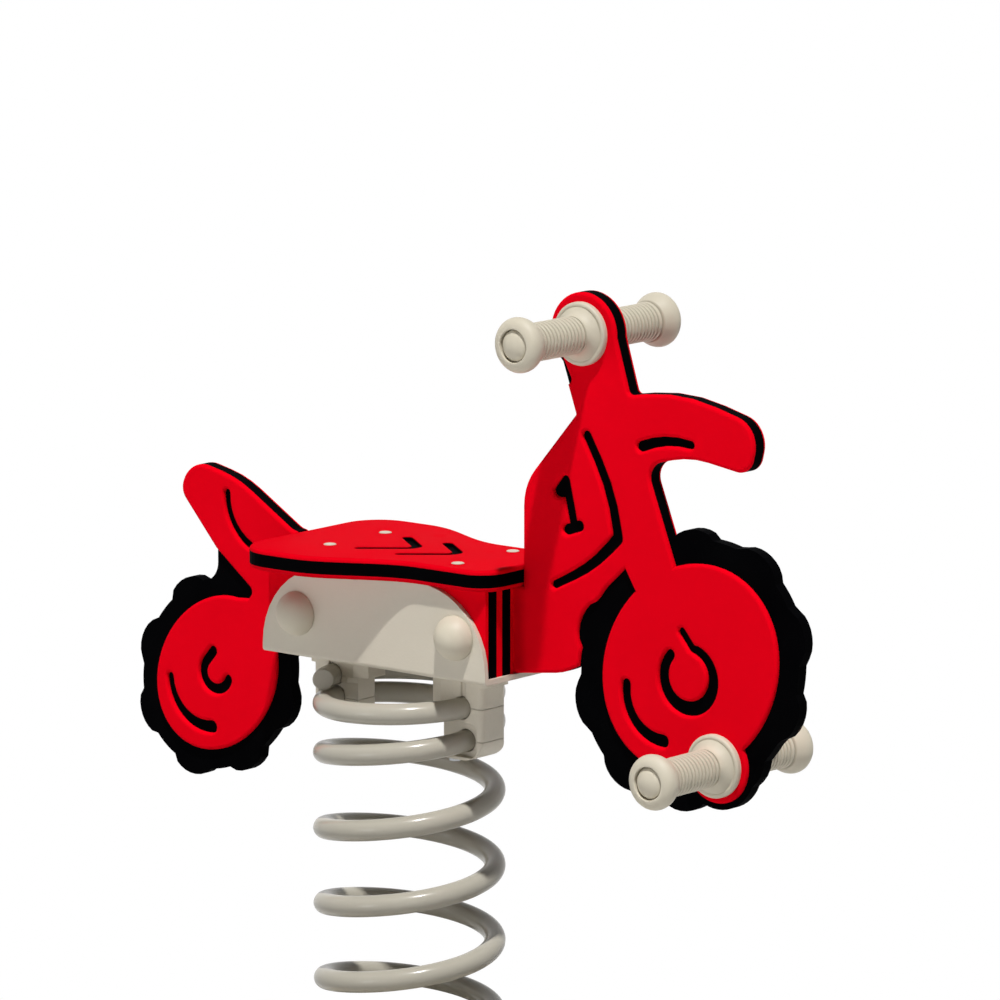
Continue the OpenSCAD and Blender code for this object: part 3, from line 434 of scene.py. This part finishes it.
def moulded_plastic(name):
    """Satin moulded plastic: faint flow clouds, fine spark-eroded grain, soft parting edges,
    and painted shade that darkens the colour where the piece carries a groove value."""
    finish, place = new_finish(name)
    cloud = place.noise(plastic_clouds, detail=3.0)
    grain = place.noise(spark_grain, detail=1.0)
    groove_shade = place.node("ShaderNodeAttribute", {"attribute_name": "groove_shade"}, {}, out="Fac")
    share = cloud * plastic_cloud_share + grain * spark_grain_share
    clean = share.tint(screen_colour(plastic_dark), screen_colour(plastic_light))
    # The colour is darkened by painted shade along the grip grooves.
    place.surface(Base_Color=(groove_shade * groove_shade_share).tint(clean, screen_colour(groove_shade_colour)),
                  Roughness=cloud.around(plastic_roughness, plastic_dulling), Specular_IOR_Level=0.35,
                  Normal=grain.bump(spark_grain_h, place.soft_edge(parting_edge_r)))
    return finish


beige_plastic = moulded_plastic("beige_moulded_plastic")


def foot_of(node, side):
    """Middle of that end of a node's box which is nearer the panel."""
    low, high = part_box(node)
    middle = (low + high) / 2
    return middle.x, high.y if side < 0 else low.y, middle.z


def turned(profile, foot, side, sides=turned_sides):
    """Profile of (radius, out) points turned about the axis that leaves the foot along side times Y."""
    angle = np.linspace(0, 2 * np.pi, sides, endpoint=False)[None, :]
    radius, out = profile[:, 0:1], profile[:, 1:2]
    x = foot[0] + radius * np.cos(angle)
    y = foot[1] + side * out + 0 * angle
    z = foot[2] + radius * np.sin(angle)
    return np.stack([x, y, z], -1)


def arc(middle, radius, start, stop, steps):
    """Points of an arc in the profile's plane, angles in degrees."""
    angle = np.radians(np.linspace(start, stop, steps))
    return np.stack([middle[0] + radius * np.cos(angle), middle[1] + radius * np.sin(angle)], 1)


def cap_profile(half, height):
    """Straight rim with a small edge, then an arc that closes on the axis; its radius follows from
    its half width and its rise."""
    rise = height - cap_rim_h
    dome_r = (half ** 2 + rise ** 2) / (2 * rise)
    opening = np.degrees(np.arcsin(half / dome_r))
    dome = arc((0, height - dome_r), dome_r, 90 - opening, 90, cap_dome_steps)
    foot = arc((half - cap_rim_edge, cap_rim_edge), cap_rim_edge, -90, 0, rim_steps)
    return np.concatenate([[(0, 0)], foot, dome])


for side, hand in ((-1, "right"), (1, "left")):
    for place in ("front", "rear"):
        node = f"{hand}_{place}_bolt_cap"
        low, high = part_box(node)
        profile = cap_profile((high.x - low.x) / 2, high.y - low.y)
        shape = surface_mesh(node, turned(profile, foot_of(node, side), side))
        cap = add_piece(f"{hand}_{place}_dome", shape, beige_plastic, "beige_plastic", node)
        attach(cap, "rider")


# Black core of the boards
# The middle layer of a three-layer polyethylene board, bared by the saw and the router.
# Sawn and routed faces are dull, with faint tool lines along the board.

core_dark = (0, 0, 1)
core_light = (6, 6, 7)
core_roughness = 0.65
core_dulling = 0.2
core_clouds = 22.0
tool_lines = (900.0, 60.0, 900.0)
tool_line_h = 0.00006
sawn_edge_r = 0.0006


def board_core(name):
    """Black polyethylene with a dull cloud and fine tool lines."""
    finish, place = new_finish(name)
    cloud = place.noise(core_clouds, detail=3.0)
    lines = place.stretched(tool_lines).noise(1.0, detail=1.0)
    tone = cloud.tint(screen_colour(core_dark), screen_colour(core_light))
    place.surface(Base_Color=tone, Roughness=cloud.around(core_roughness, core_dulling),
                  Specular_IOR_Level=0.005,
                  Normal=lines.bump(tool_line_h, place.soft_edge(sawn_edge_r)))
    return finish


black_core = board_core("black_board_core")
dress(black_core, "main_panel_core", "seat_core")
for hand in ("right", "left"):
    for place in ("inner", "outer"):
        dress(black_core, f"{hand}_{place}_spacer_core")


# Red layers of the main panel
# The two coloured outer layers of the board. The outline and every routed line have a rounded edge,
# cut by the same round-nosed tool, and the black core shows at the foot of each line.

skin_t = 0.004
skin_edge_r = 0.0034
hole_edge_r = 0.0003
hole_girth = 0.06
support_w = 0.0008
edge_steps = 7
layer_hard_edge = 0.9
shortest_edge = 0.00002
face_flat = 1e-5
straight_on = 1e-3
fewest_edges = 8
inside_borders = 1
panel_dark = (222, 0, 20)
panel_light = (236, 1, 26)
red_roughness = 0.60
red_dulling = 0.16
red_clouds = 10.0
red_cloud_share = 0.8
hair_cells = 1100.0
hair_cell_share = 0.2
hair_cell_h = 0.00005
scuff_lines = (30.0, 30.0, 260.0)
scuff_band = (0.62, 0.80)
scuff_share = 0.1
red_soft_r = 0.0003
paint_black = (4, 4, 5)
paint_edge = 0.0002


def red_layer(name, dark, light, painted=None):
    """Saturated red polyethylene: very slight clouds, a fine hair-cell grain, faint long scuffs.
    Painted is the middle, reach and level of a place where everything below the level is black."""
    finish, place = new_finish(name)
    cloud = place.noise(red_clouds, detail=4.0)
    grain = place.noise(hair_cells, detail=2.0)
    scuff = place.stretched(scuff_lines).noise(1.0, detail=3.0).step(*scuff_band)
    share = cloud * red_cloud_share + grain * hair_cell_share + scuff * scuff_share
    tone = share.tint(screen_colour(dark), screen_colour(light))
    if painted:
        middle, reach, level = painted
        away = place.node("ShaderNodeVectorMath", {"operation": "DISTANCE"}, {0: place, 1: middle}, "Value")
        height = place.node("ShaderNodeSeparateXYZ", {}, {0: place}, "Z")
        below = 1 - height.step(level, level + paint_edge)
        near = 1 - away.step(reach, reach + paint_edge)
        tone = (below * near).tint(tone, screen_colour(paint_black))
    dull = cloud.around(red_roughness, red_dulling) + scuff * scuff_share
    place.surface(Base_Color=tone, Roughness=dull, Specular_IOR_Level=0.006,
                  Normal=grain.bump(hair_cell_h, place.soft_edge(red_soft_r)))
    return finish


def edge_lengths(loop):
    """Length of each edge of a closed loop of points."""
    return np.linalg.norm(np.roll(loop, -1, 0) - loop, axis=1)


def face_loops(node, out, along, up):
    """Border loops of a CAD node's flat face that looks along out, as points in that plane.
    A border edge is one whose reverse no other triangle of the face has, and a loop goes from each
    border point to the one that follows it."""
    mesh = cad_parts[node].data
    mesh.calc_loop_triangles()
    points = np.empty(len(mesh.vertices) * 3, np.float32)
    mesh.vertices.foreach_get("co", points)
    corners = np.empty(len(mesh.loop_triangles) * 3, np.int32)
    mesh.loop_triangles.foreach_get("vertices", corners)
    points, same = np.unique(points.reshape(-1, 3), axis=0, return_inverse=True)
    corners = same.ravel()[corners].reshape(-1, 3)
    height = points @ np.array(out)
    flat = corners[(height[corners] > height.max() - face_flat).all(1)]
    edges = np.concatenate([flat[:, [0, 1]], flat[:, [1, 2]], flat[:, [2, 0]]])
    code = edges[:, 0] * len(points) + edges[:, 1]
    reverse = edges[:, 1] * len(points) + edges[:, 0]
    following = dict(edges[~np.isin(code, reverse)].tolist())
    plane = np.stack([points @ np.array(along), points @ np.array(up)], 1)
    loops = []
    while following:
        walk = [next(iter(following))]
        while walk[-1] in following:
            walk.append(following.pop(walk[-1]))
        loop = plane[walk[:-1]]
        loops.append(loop[edge_lengths(loop) > shortest_edge])
    return loops, float(height.max())


def inside(points, loops):
    """Which points lie in the face: a ray to the right crosses its borders an odd number of times."""
    start = np.concatenate(loops)
    stop = np.concatenate([np.roll(loop, -1, 0) for loop in loops])
    x, y = points[:, 0:1], points[:, 1:2]
    spans = (start[:, 1] > y) != (stop[:, 1] > y)
    rise = np.where(stop[:, 1] == start[:, 1], 1, stop[:, 1] - start[:, 1])
    slope = (stop[:, 0] - start[:, 0]) / rise
    return (spans & (x < start[:, 0] + (y - start[:, 1]) * slope)).sum(1) % 2 == 1


def inset(loop, depth):
    """Loop moved by depth to the left of its edges. Each edge's line is moved and meets its
    neighbour's again; an edge that would come out turned round is dropped, and its points go where
    its neighbours meet."""
    edge = np.roll(loop, -1, 0) - loop
    edge /= np.linalg.norm(edge, axis=1, keepdims=True)
    moved = loop + depth * np.stack([-edge[:, 1], edge[:, 0]], 1)
    live = np.arange(len(loop))
    while True:
        before = np.roll(live, 1)
        cross = edge[before, 0] * edge[live, 1] - edge[before, 1] * edge[live, 0]
        gap = moved[live] - moved[before]
        reach = gap[:, 0] * edge[live, 1] - gap[:, 1] * edge[live, 0]
        steady = np.abs(cross) > straight_on
        ahead = np.where(steady, reach / np.where(steady, cross, 1), (gap * edge[before]).sum(1))
        meet = moved[before] + ahead[:, None] * edge[before]
        turned_round = ((np.roll(meet, -1, 0) - meet) * edge[live]).sum(1) < 0
        if not turned_round.any() or len(live) < fewest_edges:
            break
        live = live[~turned_round]
    return meet[np.searchsorted(live, np.arange(len(loop))) % len(live)]


def edge_profile(radius):
    """Pairs of (inset, height): up the side, round a quarter circle and a little way onto the face."""
    bend = np.linspace(0, np.pi / 2, edge_steps)
    round_part = np.stack([radius * (1 - np.cos(bend)), skin_t - radius * (1 - np.sin(bend))], 1)
    return np.concatenate([[(0, 0)], round_part, [(radius + support_w, skin_t)]])


def filled(rims):
    """Points and triangles of the flat face between border loops: a Delaunay net that keeps every
    border edge, less the triangles whose middle lies outside the face."""
    ends = np.cumsum([len(rim) for rim in rims])
    index = np.arange(ends[-1])
    following = np.concatenate([np.roll(part, -1) for part in np.split(index, ends[:-1])])
    border = np.stack([index, following], 1).tolist()
    points = np.concatenate(rims).tolist()
    net = geometry.delaunay_2d_cdt(points, border, [], inside_borders, weld_gap)
    flat, triangles = np.array(net[0]), np.array(net[2])
    return flat, triangles[inside(flat[triangles].mean(1), rims)]


def rounded_layer(node, out, along, up, line_r):
    """Layer of a board: the edge profile carried round every loop, then the two flat faces filled.
    The longest loop is the outline, and those no longer than a hole's girth are screw holes."""
    loops, level = face_loops(node, out, along, up)
    lengths = [edge_lengths(loop).sum() for loop in loops]
    rings, spots, faces = [], [], []
    count = 0
    for loop, length in zip(loops, lengths):
        if length == max(lengths):
            radius = skin_edge_r
        elif length > hole_girth:
            radius = line_r
        else:
            radius = hole_edge_r
        rows = [np.column_stack([inset(loop, deep), np.full(len(loop), level - skin_t + high)])
                for deep, high in edge_profile(radius)]
        rings.append(np.stack(rows))
        spots += rows
        faces += (count + grid_quads(len(rows), len(loop))).tolist()
        count += len(rows) * len(loop)
    for row in (-1, 0):
        flat, triangles = filled([ring[row, :, :2] for ring in rings])
        spots.append(np.column_stack([flat, np.full(len(flat), rings[0][row, 0, 2])]))
        faces += (count + triangles).tolist()
        count += len(flat)
    mesh = bpy.data.meshes.new(node)
    mesh.from_pydata(np.concatenate(spots) @ np.array([along, up, out]), [], faces)
    return finish_mesh(mesh, layer_hard_edge)


red_skin = red_layer("red_board_layer", panel_dark, panel_light)
for side, hand in ((-1, "right"), (1, "left")):
    node = f"main_panel_{hand}_skin"
    shape = rounded_layer(node, (0, side, 0), (-side, 0, 0), (0, 0, 1), skin_edge_r)
    skin = add_piece(f"{hand}_panel_layer", shape, red_skin, "red_sheet", node)
    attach(skin, "rider")


# Spacer boards
# Four lengths of the same board under the seat, two on each side of the panel.
# Their edges are sawn square, and their front ends show as red and black stripes.

for hand in ("right", "left"):
    for place in ("inner", "outer"):
        dress(red_skin, f"{hand}_{place}_spacer_skins")


# Seat
# The same board lying flat on the spacers, wide at the rear and narrow between the knees.
# The edges of both red layers are rounded, and two chevrons are routed in the top and painted black.

# The seat's red is a darker copy of the panel's red. This is painted shade that holds back the key lamp on
# the flat top.
seat_shaded_dark = (206, 0, 18)
seat_shaded_light = (220, 1, 23)
seat_line_r = 0.0008
chevrons_x = 0.0126
chevrons_reach = 0.063

seat_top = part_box("seat_top_skin")[1].z
chevrons = ((chevrons_x, 0.0, seat_top), chevrons_reach, seat_top - seat_line_r)
# Both seat layers take this darker, painted-shade copy of the board's red.
seat_shaded_red = red_layer("shaded_red_seat_layer", seat_shaded_dark, seat_shaded_light, painted=chevrons)
for face, out in (("top", 1), ("bottom", -1)):
    node = f"seat_{face}_skin"
    shape = rounded_layer(node, (0, 0, out), (1, 0, 0), (0, out, 0), seat_line_r)
    layer = add_piece(f"seat_{face}_layer", shape, seat_shaded_red, "red_sheet", node)
    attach(layer, "rider")


# Seat screws
# Four pan-head screws down through the seat, their heads capped with pale plastic.
# Each head is a low dome with a turned-over rim.

screw_half = 0.006
screw_head_h = 0.0015
screw_rim = 0.0007
screw_dome_steps = 16
screw_rim_steps = 7
screw_sides = 48


def head_profile():
    """Rounded rim, then a quarter of a flat ellipse up to the axis."""
    bend = np.linspace(0, np.pi / 2, screw_dome_steps)
    rim_x = screw_half - screw_rim / 2
    dome = np.stack([rim_x * np.cos(bend), screw_rim + (screw_head_h - screw_rim) * np.sin(bend)], 1)
    rim = arc((rim_x, screw_rim / 2), screw_rim / 2, -90, 90, screw_rim_steps)
    return np.concatenate([[(0, 0)], rim, dome])


screw_low, screw_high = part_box("seat_screws")
lying = turned(head_profile(), (0, 0, 0), 1, screw_sides)
joined = bmesh.new()
for x in (screw_low.x + screw_half, screw_high.x - screw_half):
    for y in (screw_low.y + screw_half, screw_high.y - screw_half):
        upright = np.stack([x + lying[..., 0], y + lying[..., 2], seat_top + lying[..., 1]], -1)
        head = surface_mesh("seat_screw_head", upright)
        joined.from_mesh(head)
        bpy.data.meshes.remove(head)
screw_mesh = bpy.data.meshes.new("seat_screw_heads")
joined.to_mesh(screw_mesh)
joined.free()
screw_mesh.set_sharp_from_angle(angle=hard_edge)
screws = add_piece("seat_screw_heads", screw_mesh, beige_plastic, "zinc_steel", "seat_screws")
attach(screws, "rider")


# Handles and footrests
# Four moulded grips on two steel rods through the panel, each turned about its rod.
# A beaded flange stands on the panel, the tube is ribbed, and a domed button closes the flared knob.

grip_l = 0.0995
flange_r = 0.0292
flange_t = 0.0060
bead_r = 0.0028
bead_stop = 122
bead_steps = 16
root_stop = 0.0152
root_steps = 20
tube_r = 0.0176
ribs = 12
first_groove = 0.0160
last_groove = 0.0757
groove_depth = 0.0030
groove_power = 8
rib_steps = 20
rib_hard_edge = 0.6
flare_from = 0.0700
knob_r = 0.0253
knob_out = 0.0905
nose_steps = 20
lip_r = 0.0157
lip_edge = 0.0006
button_gap = 0.0015
button_depth = 0.0060
button_seat = 0.0026
button_dome = 0.0048
button_steps = 20
button_sides = 72

button_r = lip_r - lip_edge - button_gap
button_foot = grip_l - button_depth


def grip_profile():
    """Flange with a beaded rim, a root that falls as a parabola to the tube, grooves that follow a
    high power of a cosine, a cosine flare, a quarter ellipse over the knob's nose and a round hole
    for the button. Beside the points it gives each one's painted groove shade, its share of a groove's
    depth."""
    bead = arc((flange_r - bead_r, flange_t - bead_r), bead_r, 0, bead_stop, bead_steps)
    valley_r, valley = bead[-1]
    fall = np.linspace(0, 1, root_steps)[1:]
    root_r = tube_r + (valley_r - tube_r) * (1 - fall) ** 2
    root = np.stack([root_r, valley + (root_stop - valley) * fall], 1)
    pitch = (last_groove - first_groove) / ribs
    out = np.arange(root_stop, knob_out, pitch / rib_steps)[1:]
    flare = np.clip((out - flare_from) / (knob_out - flare_from), 0, 1)
    groove = np.abs(np.cos(np.pi * (out - first_groove) / pitch)) ** groove_power
    groove *= out < last_groove + pitch / 2
    swell = (knob_r - tube_r) * (1 - np.cos(np.pi * flare)) / 2
    tube = np.stack([tube_r + swell - groove_depth * groove, out], 1)
    bend = np.linspace(0, np.pi / 2, nose_steps)
    nose_r = lip_r + (knob_r - lip_r) * np.cos(bend)
    nose = np.stack([nose_r, knob_out + (grip_l - knob_out) * np.sin(bend)], 1)
    lip = arc((lip_r, grip_l - lip_edge), lip_edge, 90, 180, rim_steps)
    before = np.concatenate([[(0, 0), (flange_r, 0)], bead, root])
    after = np.concatenate([nose, lip[1:], [(lip_r - lip_edge, button_foot), (0, button_foot)]])
    # Each groove point's share of the groove depth, which the finish reads as painted shade.
    groove_shade = np.concatenate([np.zeros(len(before)), groove, np.zeros(len(after))])
    return np.concatenate([before, tube, after]), groove_shade


def button_profile():
    """Straight side in the hole and a dome that is one arc; its radius follows from its half width
    and its rise."""
    dome_r = (button_r ** 2 + button_dome ** 2) / (2 * button_dome)
    opening = np.degrees(np.arcsin(button_r / dome_r))
    dome_middle = (0, grip_l - button_seat + button_dome - dome_r)
    dome = arc(dome_middle, dome_r, 90 - opening, 90, button_steps)
    return np.concatenate([[(0, button_foot), (button_r, button_foot)], dome])


grip_points, grip_groove_shade = grip_profile()
button_points = button_profile()
for side, hand in ((-1, "right"), (1, "left")):
    for place in ("handle", "footrest"):
        node = f"{hand}_{place}_grip"
        foot = foot_of(node, side)
        shape = surface_mesh(node, turned(grip_points, foot, side), rib_hard_edge, grip_groove_shade)
        grip = add_piece(f"{hand}_{place}_moulding", shape, beige_plastic, "beige_plastic", node)
        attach(grip, "rider")
        button_node = f"{hand}_{place}_button"
        shape = surface_mesh(button_node, turned(button_points, foot, side, button_sides))
        button = add_piece(f"{hand}_{place}_plug", shape, beige_plastic, "beige_plastic", button_node)
        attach(button, "rider")


# Floor and light
# A wide pale floor, white to the camera away from the object, under one high key lamp,
# soft fills from the camera's side and from behind, and a dim sky that is paler near the horizon.

floor_half = 60.0
floor_drop = 0.0002
floor_grain = 40.0
floor_grain_share = 0.04
shadow_r = 0.25
white_r = 0.40
bright_r = 0.90
near_bounce = 0.40
more_bounce = 0.30
pale = 0.88
black = (0, 0, 0, 1)
white = (1, 1, 1, 1)
sky_low = 0.09
sky_fall = 0.07

floor_mesh = bpy.data.meshes.new("floor")
corners = ((-1, -1), (1, -1), (1, 1), (-1, 1))
floor_mesh.from_pydata([(x * floor_half, y * floor_half, -floor_drop) for x, y in corners],
                       [], [(0, 1, 2, 3)])
floor = bpy.data.objects.new("floor", floor_mesh)
bpy.context.scene.collection.objects.link(floor)


def seen_rays(place):
    """One for rays that show the background: from the camera, a reflection or clear material."""
    direct = place.node("ShaderNodeLightPath", {}, {}, "Is Camera Ray")
    glossy = place.node("ShaderNodeLightPath", {}, {}, "Is Glossy Ray")
    clear = place.node("ShaderNodeLightPath", {}, {}, "Is Transmission Ray")
    return direct.at_least(glossy).at_least(clear)


def pale_floor(name):
    """Pale near the object, where it takes the shadow, and plain white farther off; duller to
    bounced light."""
    finish, place = new_finish(name)
    seen = seen_rays(place)
    away = place.node("ShaderNodeVectorMath", {"operation": "LENGTH"}, {0: place}, "Value")
    grain = place.noise(floor_grain, detail=3.0)
    bounce = near_bounce + more_bounce * away.step(shadow_r, bright_r)
    share = bounce + seen * (pale - bounce) + grain * floor_grain_share
    dull = place.node("ShaderNodeBsdfDiffuse", {}, {"Color": share.tint(black, white)})
    bright = place.node("ShaderNodeEmission", {}, {"Color": white, "Strength": 1.0})
    far_off = seen * away.step(shadow_r, white_r)
    place.node("ShaderNodeMixShader", {}, {0: far_off, 1: dull, 2: bright}).show()
    return finish


floor_mesh.materials.append(pale_floor("pale_floor"))

world = bpy.data.worlds.new("studio")
bpy.context.scene.world = world
world.use_nodes = True
world.node_tree.nodes.remove(world.node_tree.nodes["Background"])
direction = Wire(world.node_tree.nodes.new("ShaderNodeTexCoord").outputs["Generated"])
height = direction.node("ShaderNodeSeparateXYZ", {}, {0: direction}, "Z")
sky_light = sky_low - sky_fall * height.at_least(0.0)
sky = direction.node("ShaderNodeBackground", {}, {"Color": white, "Strength": sky_light})
white_sky = direction.node("ShaderNodeBackground", {}, {"Color": white, "Strength": 1.0})
direction.node("ShaderNodeMixShader", {}, {0: seen_rays(direction), 1: sky, 2: white_sky}).show()

rider_middle = Vector((0.1093, 0.0, 0.5797))
key_from = Vector((0.24, -0.30, 1.0)).normalized()
key_away = 4
key_energy = 3.65
key_angle = np.radians(2.0)
fill_place = (-1.0, -4.0, 0.75)
fill_energy = 26.0
back_place = (-2.2, 4.0, 1.2)
back_energy = 34.0
soft_lamp_d = 1.2


def lamp(name, kind, place, **settings):
    """Lamp at a place that looks at the middle of the rider."""
    light = bpy.data.lights.new(name, kind)
    for key, value in settings.items():
        setattr(light, key, value)
    holder = bpy.data.objects.new(name, light)
    holder.location = place
    holder.rotation_euler = (rider_middle - Vector(place)).to_track_quat("-Z", "Y").to_euler()
    bpy.context.scene.collection.objects.link(holder)
    return holder


lamp("key", "SUN", rider_middle + key_away * key_from, energy=key_energy, angle=key_angle)
lamp("fill", "AREA", fill_place, energy=fill_energy, shape="DISK", size=soft_lamp_d)
back_fill = lamp("back_fill", "AREA", back_place, energy=back_energy, shape="DISK", size=soft_lamp_d)
back_fill.visible_glossy = False


# Camera
# Stands low at the right front, far off with a long lens, as in the photograph.
# It looks at the middle of the rider, so the lower turns of the coil fall outside the picture.

camera_turn = np.radians(39.173)
camera_rise = np.radians(9.923)
camera_away = 6.3727
camera_lens = 250.12
camera_sensor = 36.0
camera_reach = 200.0

camera = bpy.data.cameras.new("camera")
camera.lens = camera_lens
camera.sensor_width = camera_sensor
camera.clip_end = camera_reach
camera_from = Vector((np.sin(camera_turn) * np.cos(camera_rise),
                      -np.cos(camera_turn) * np.cos(camera_rise), np.sin(camera_rise)))
camera_stand = bpy.data.objects.new("camera", camera)
camera_stand.location = rider_middle + camera_away * camera_from
camera_stand.rotation_euler = (-camera_from).to_track_quat("-Z", "Y").to_euler()
bpy.context.scene.collection.objects.link(camera_stand)
bpy.context.scene.camera = camera_stand
bpy.context.scene.view_settings.view_transform = "Standard"
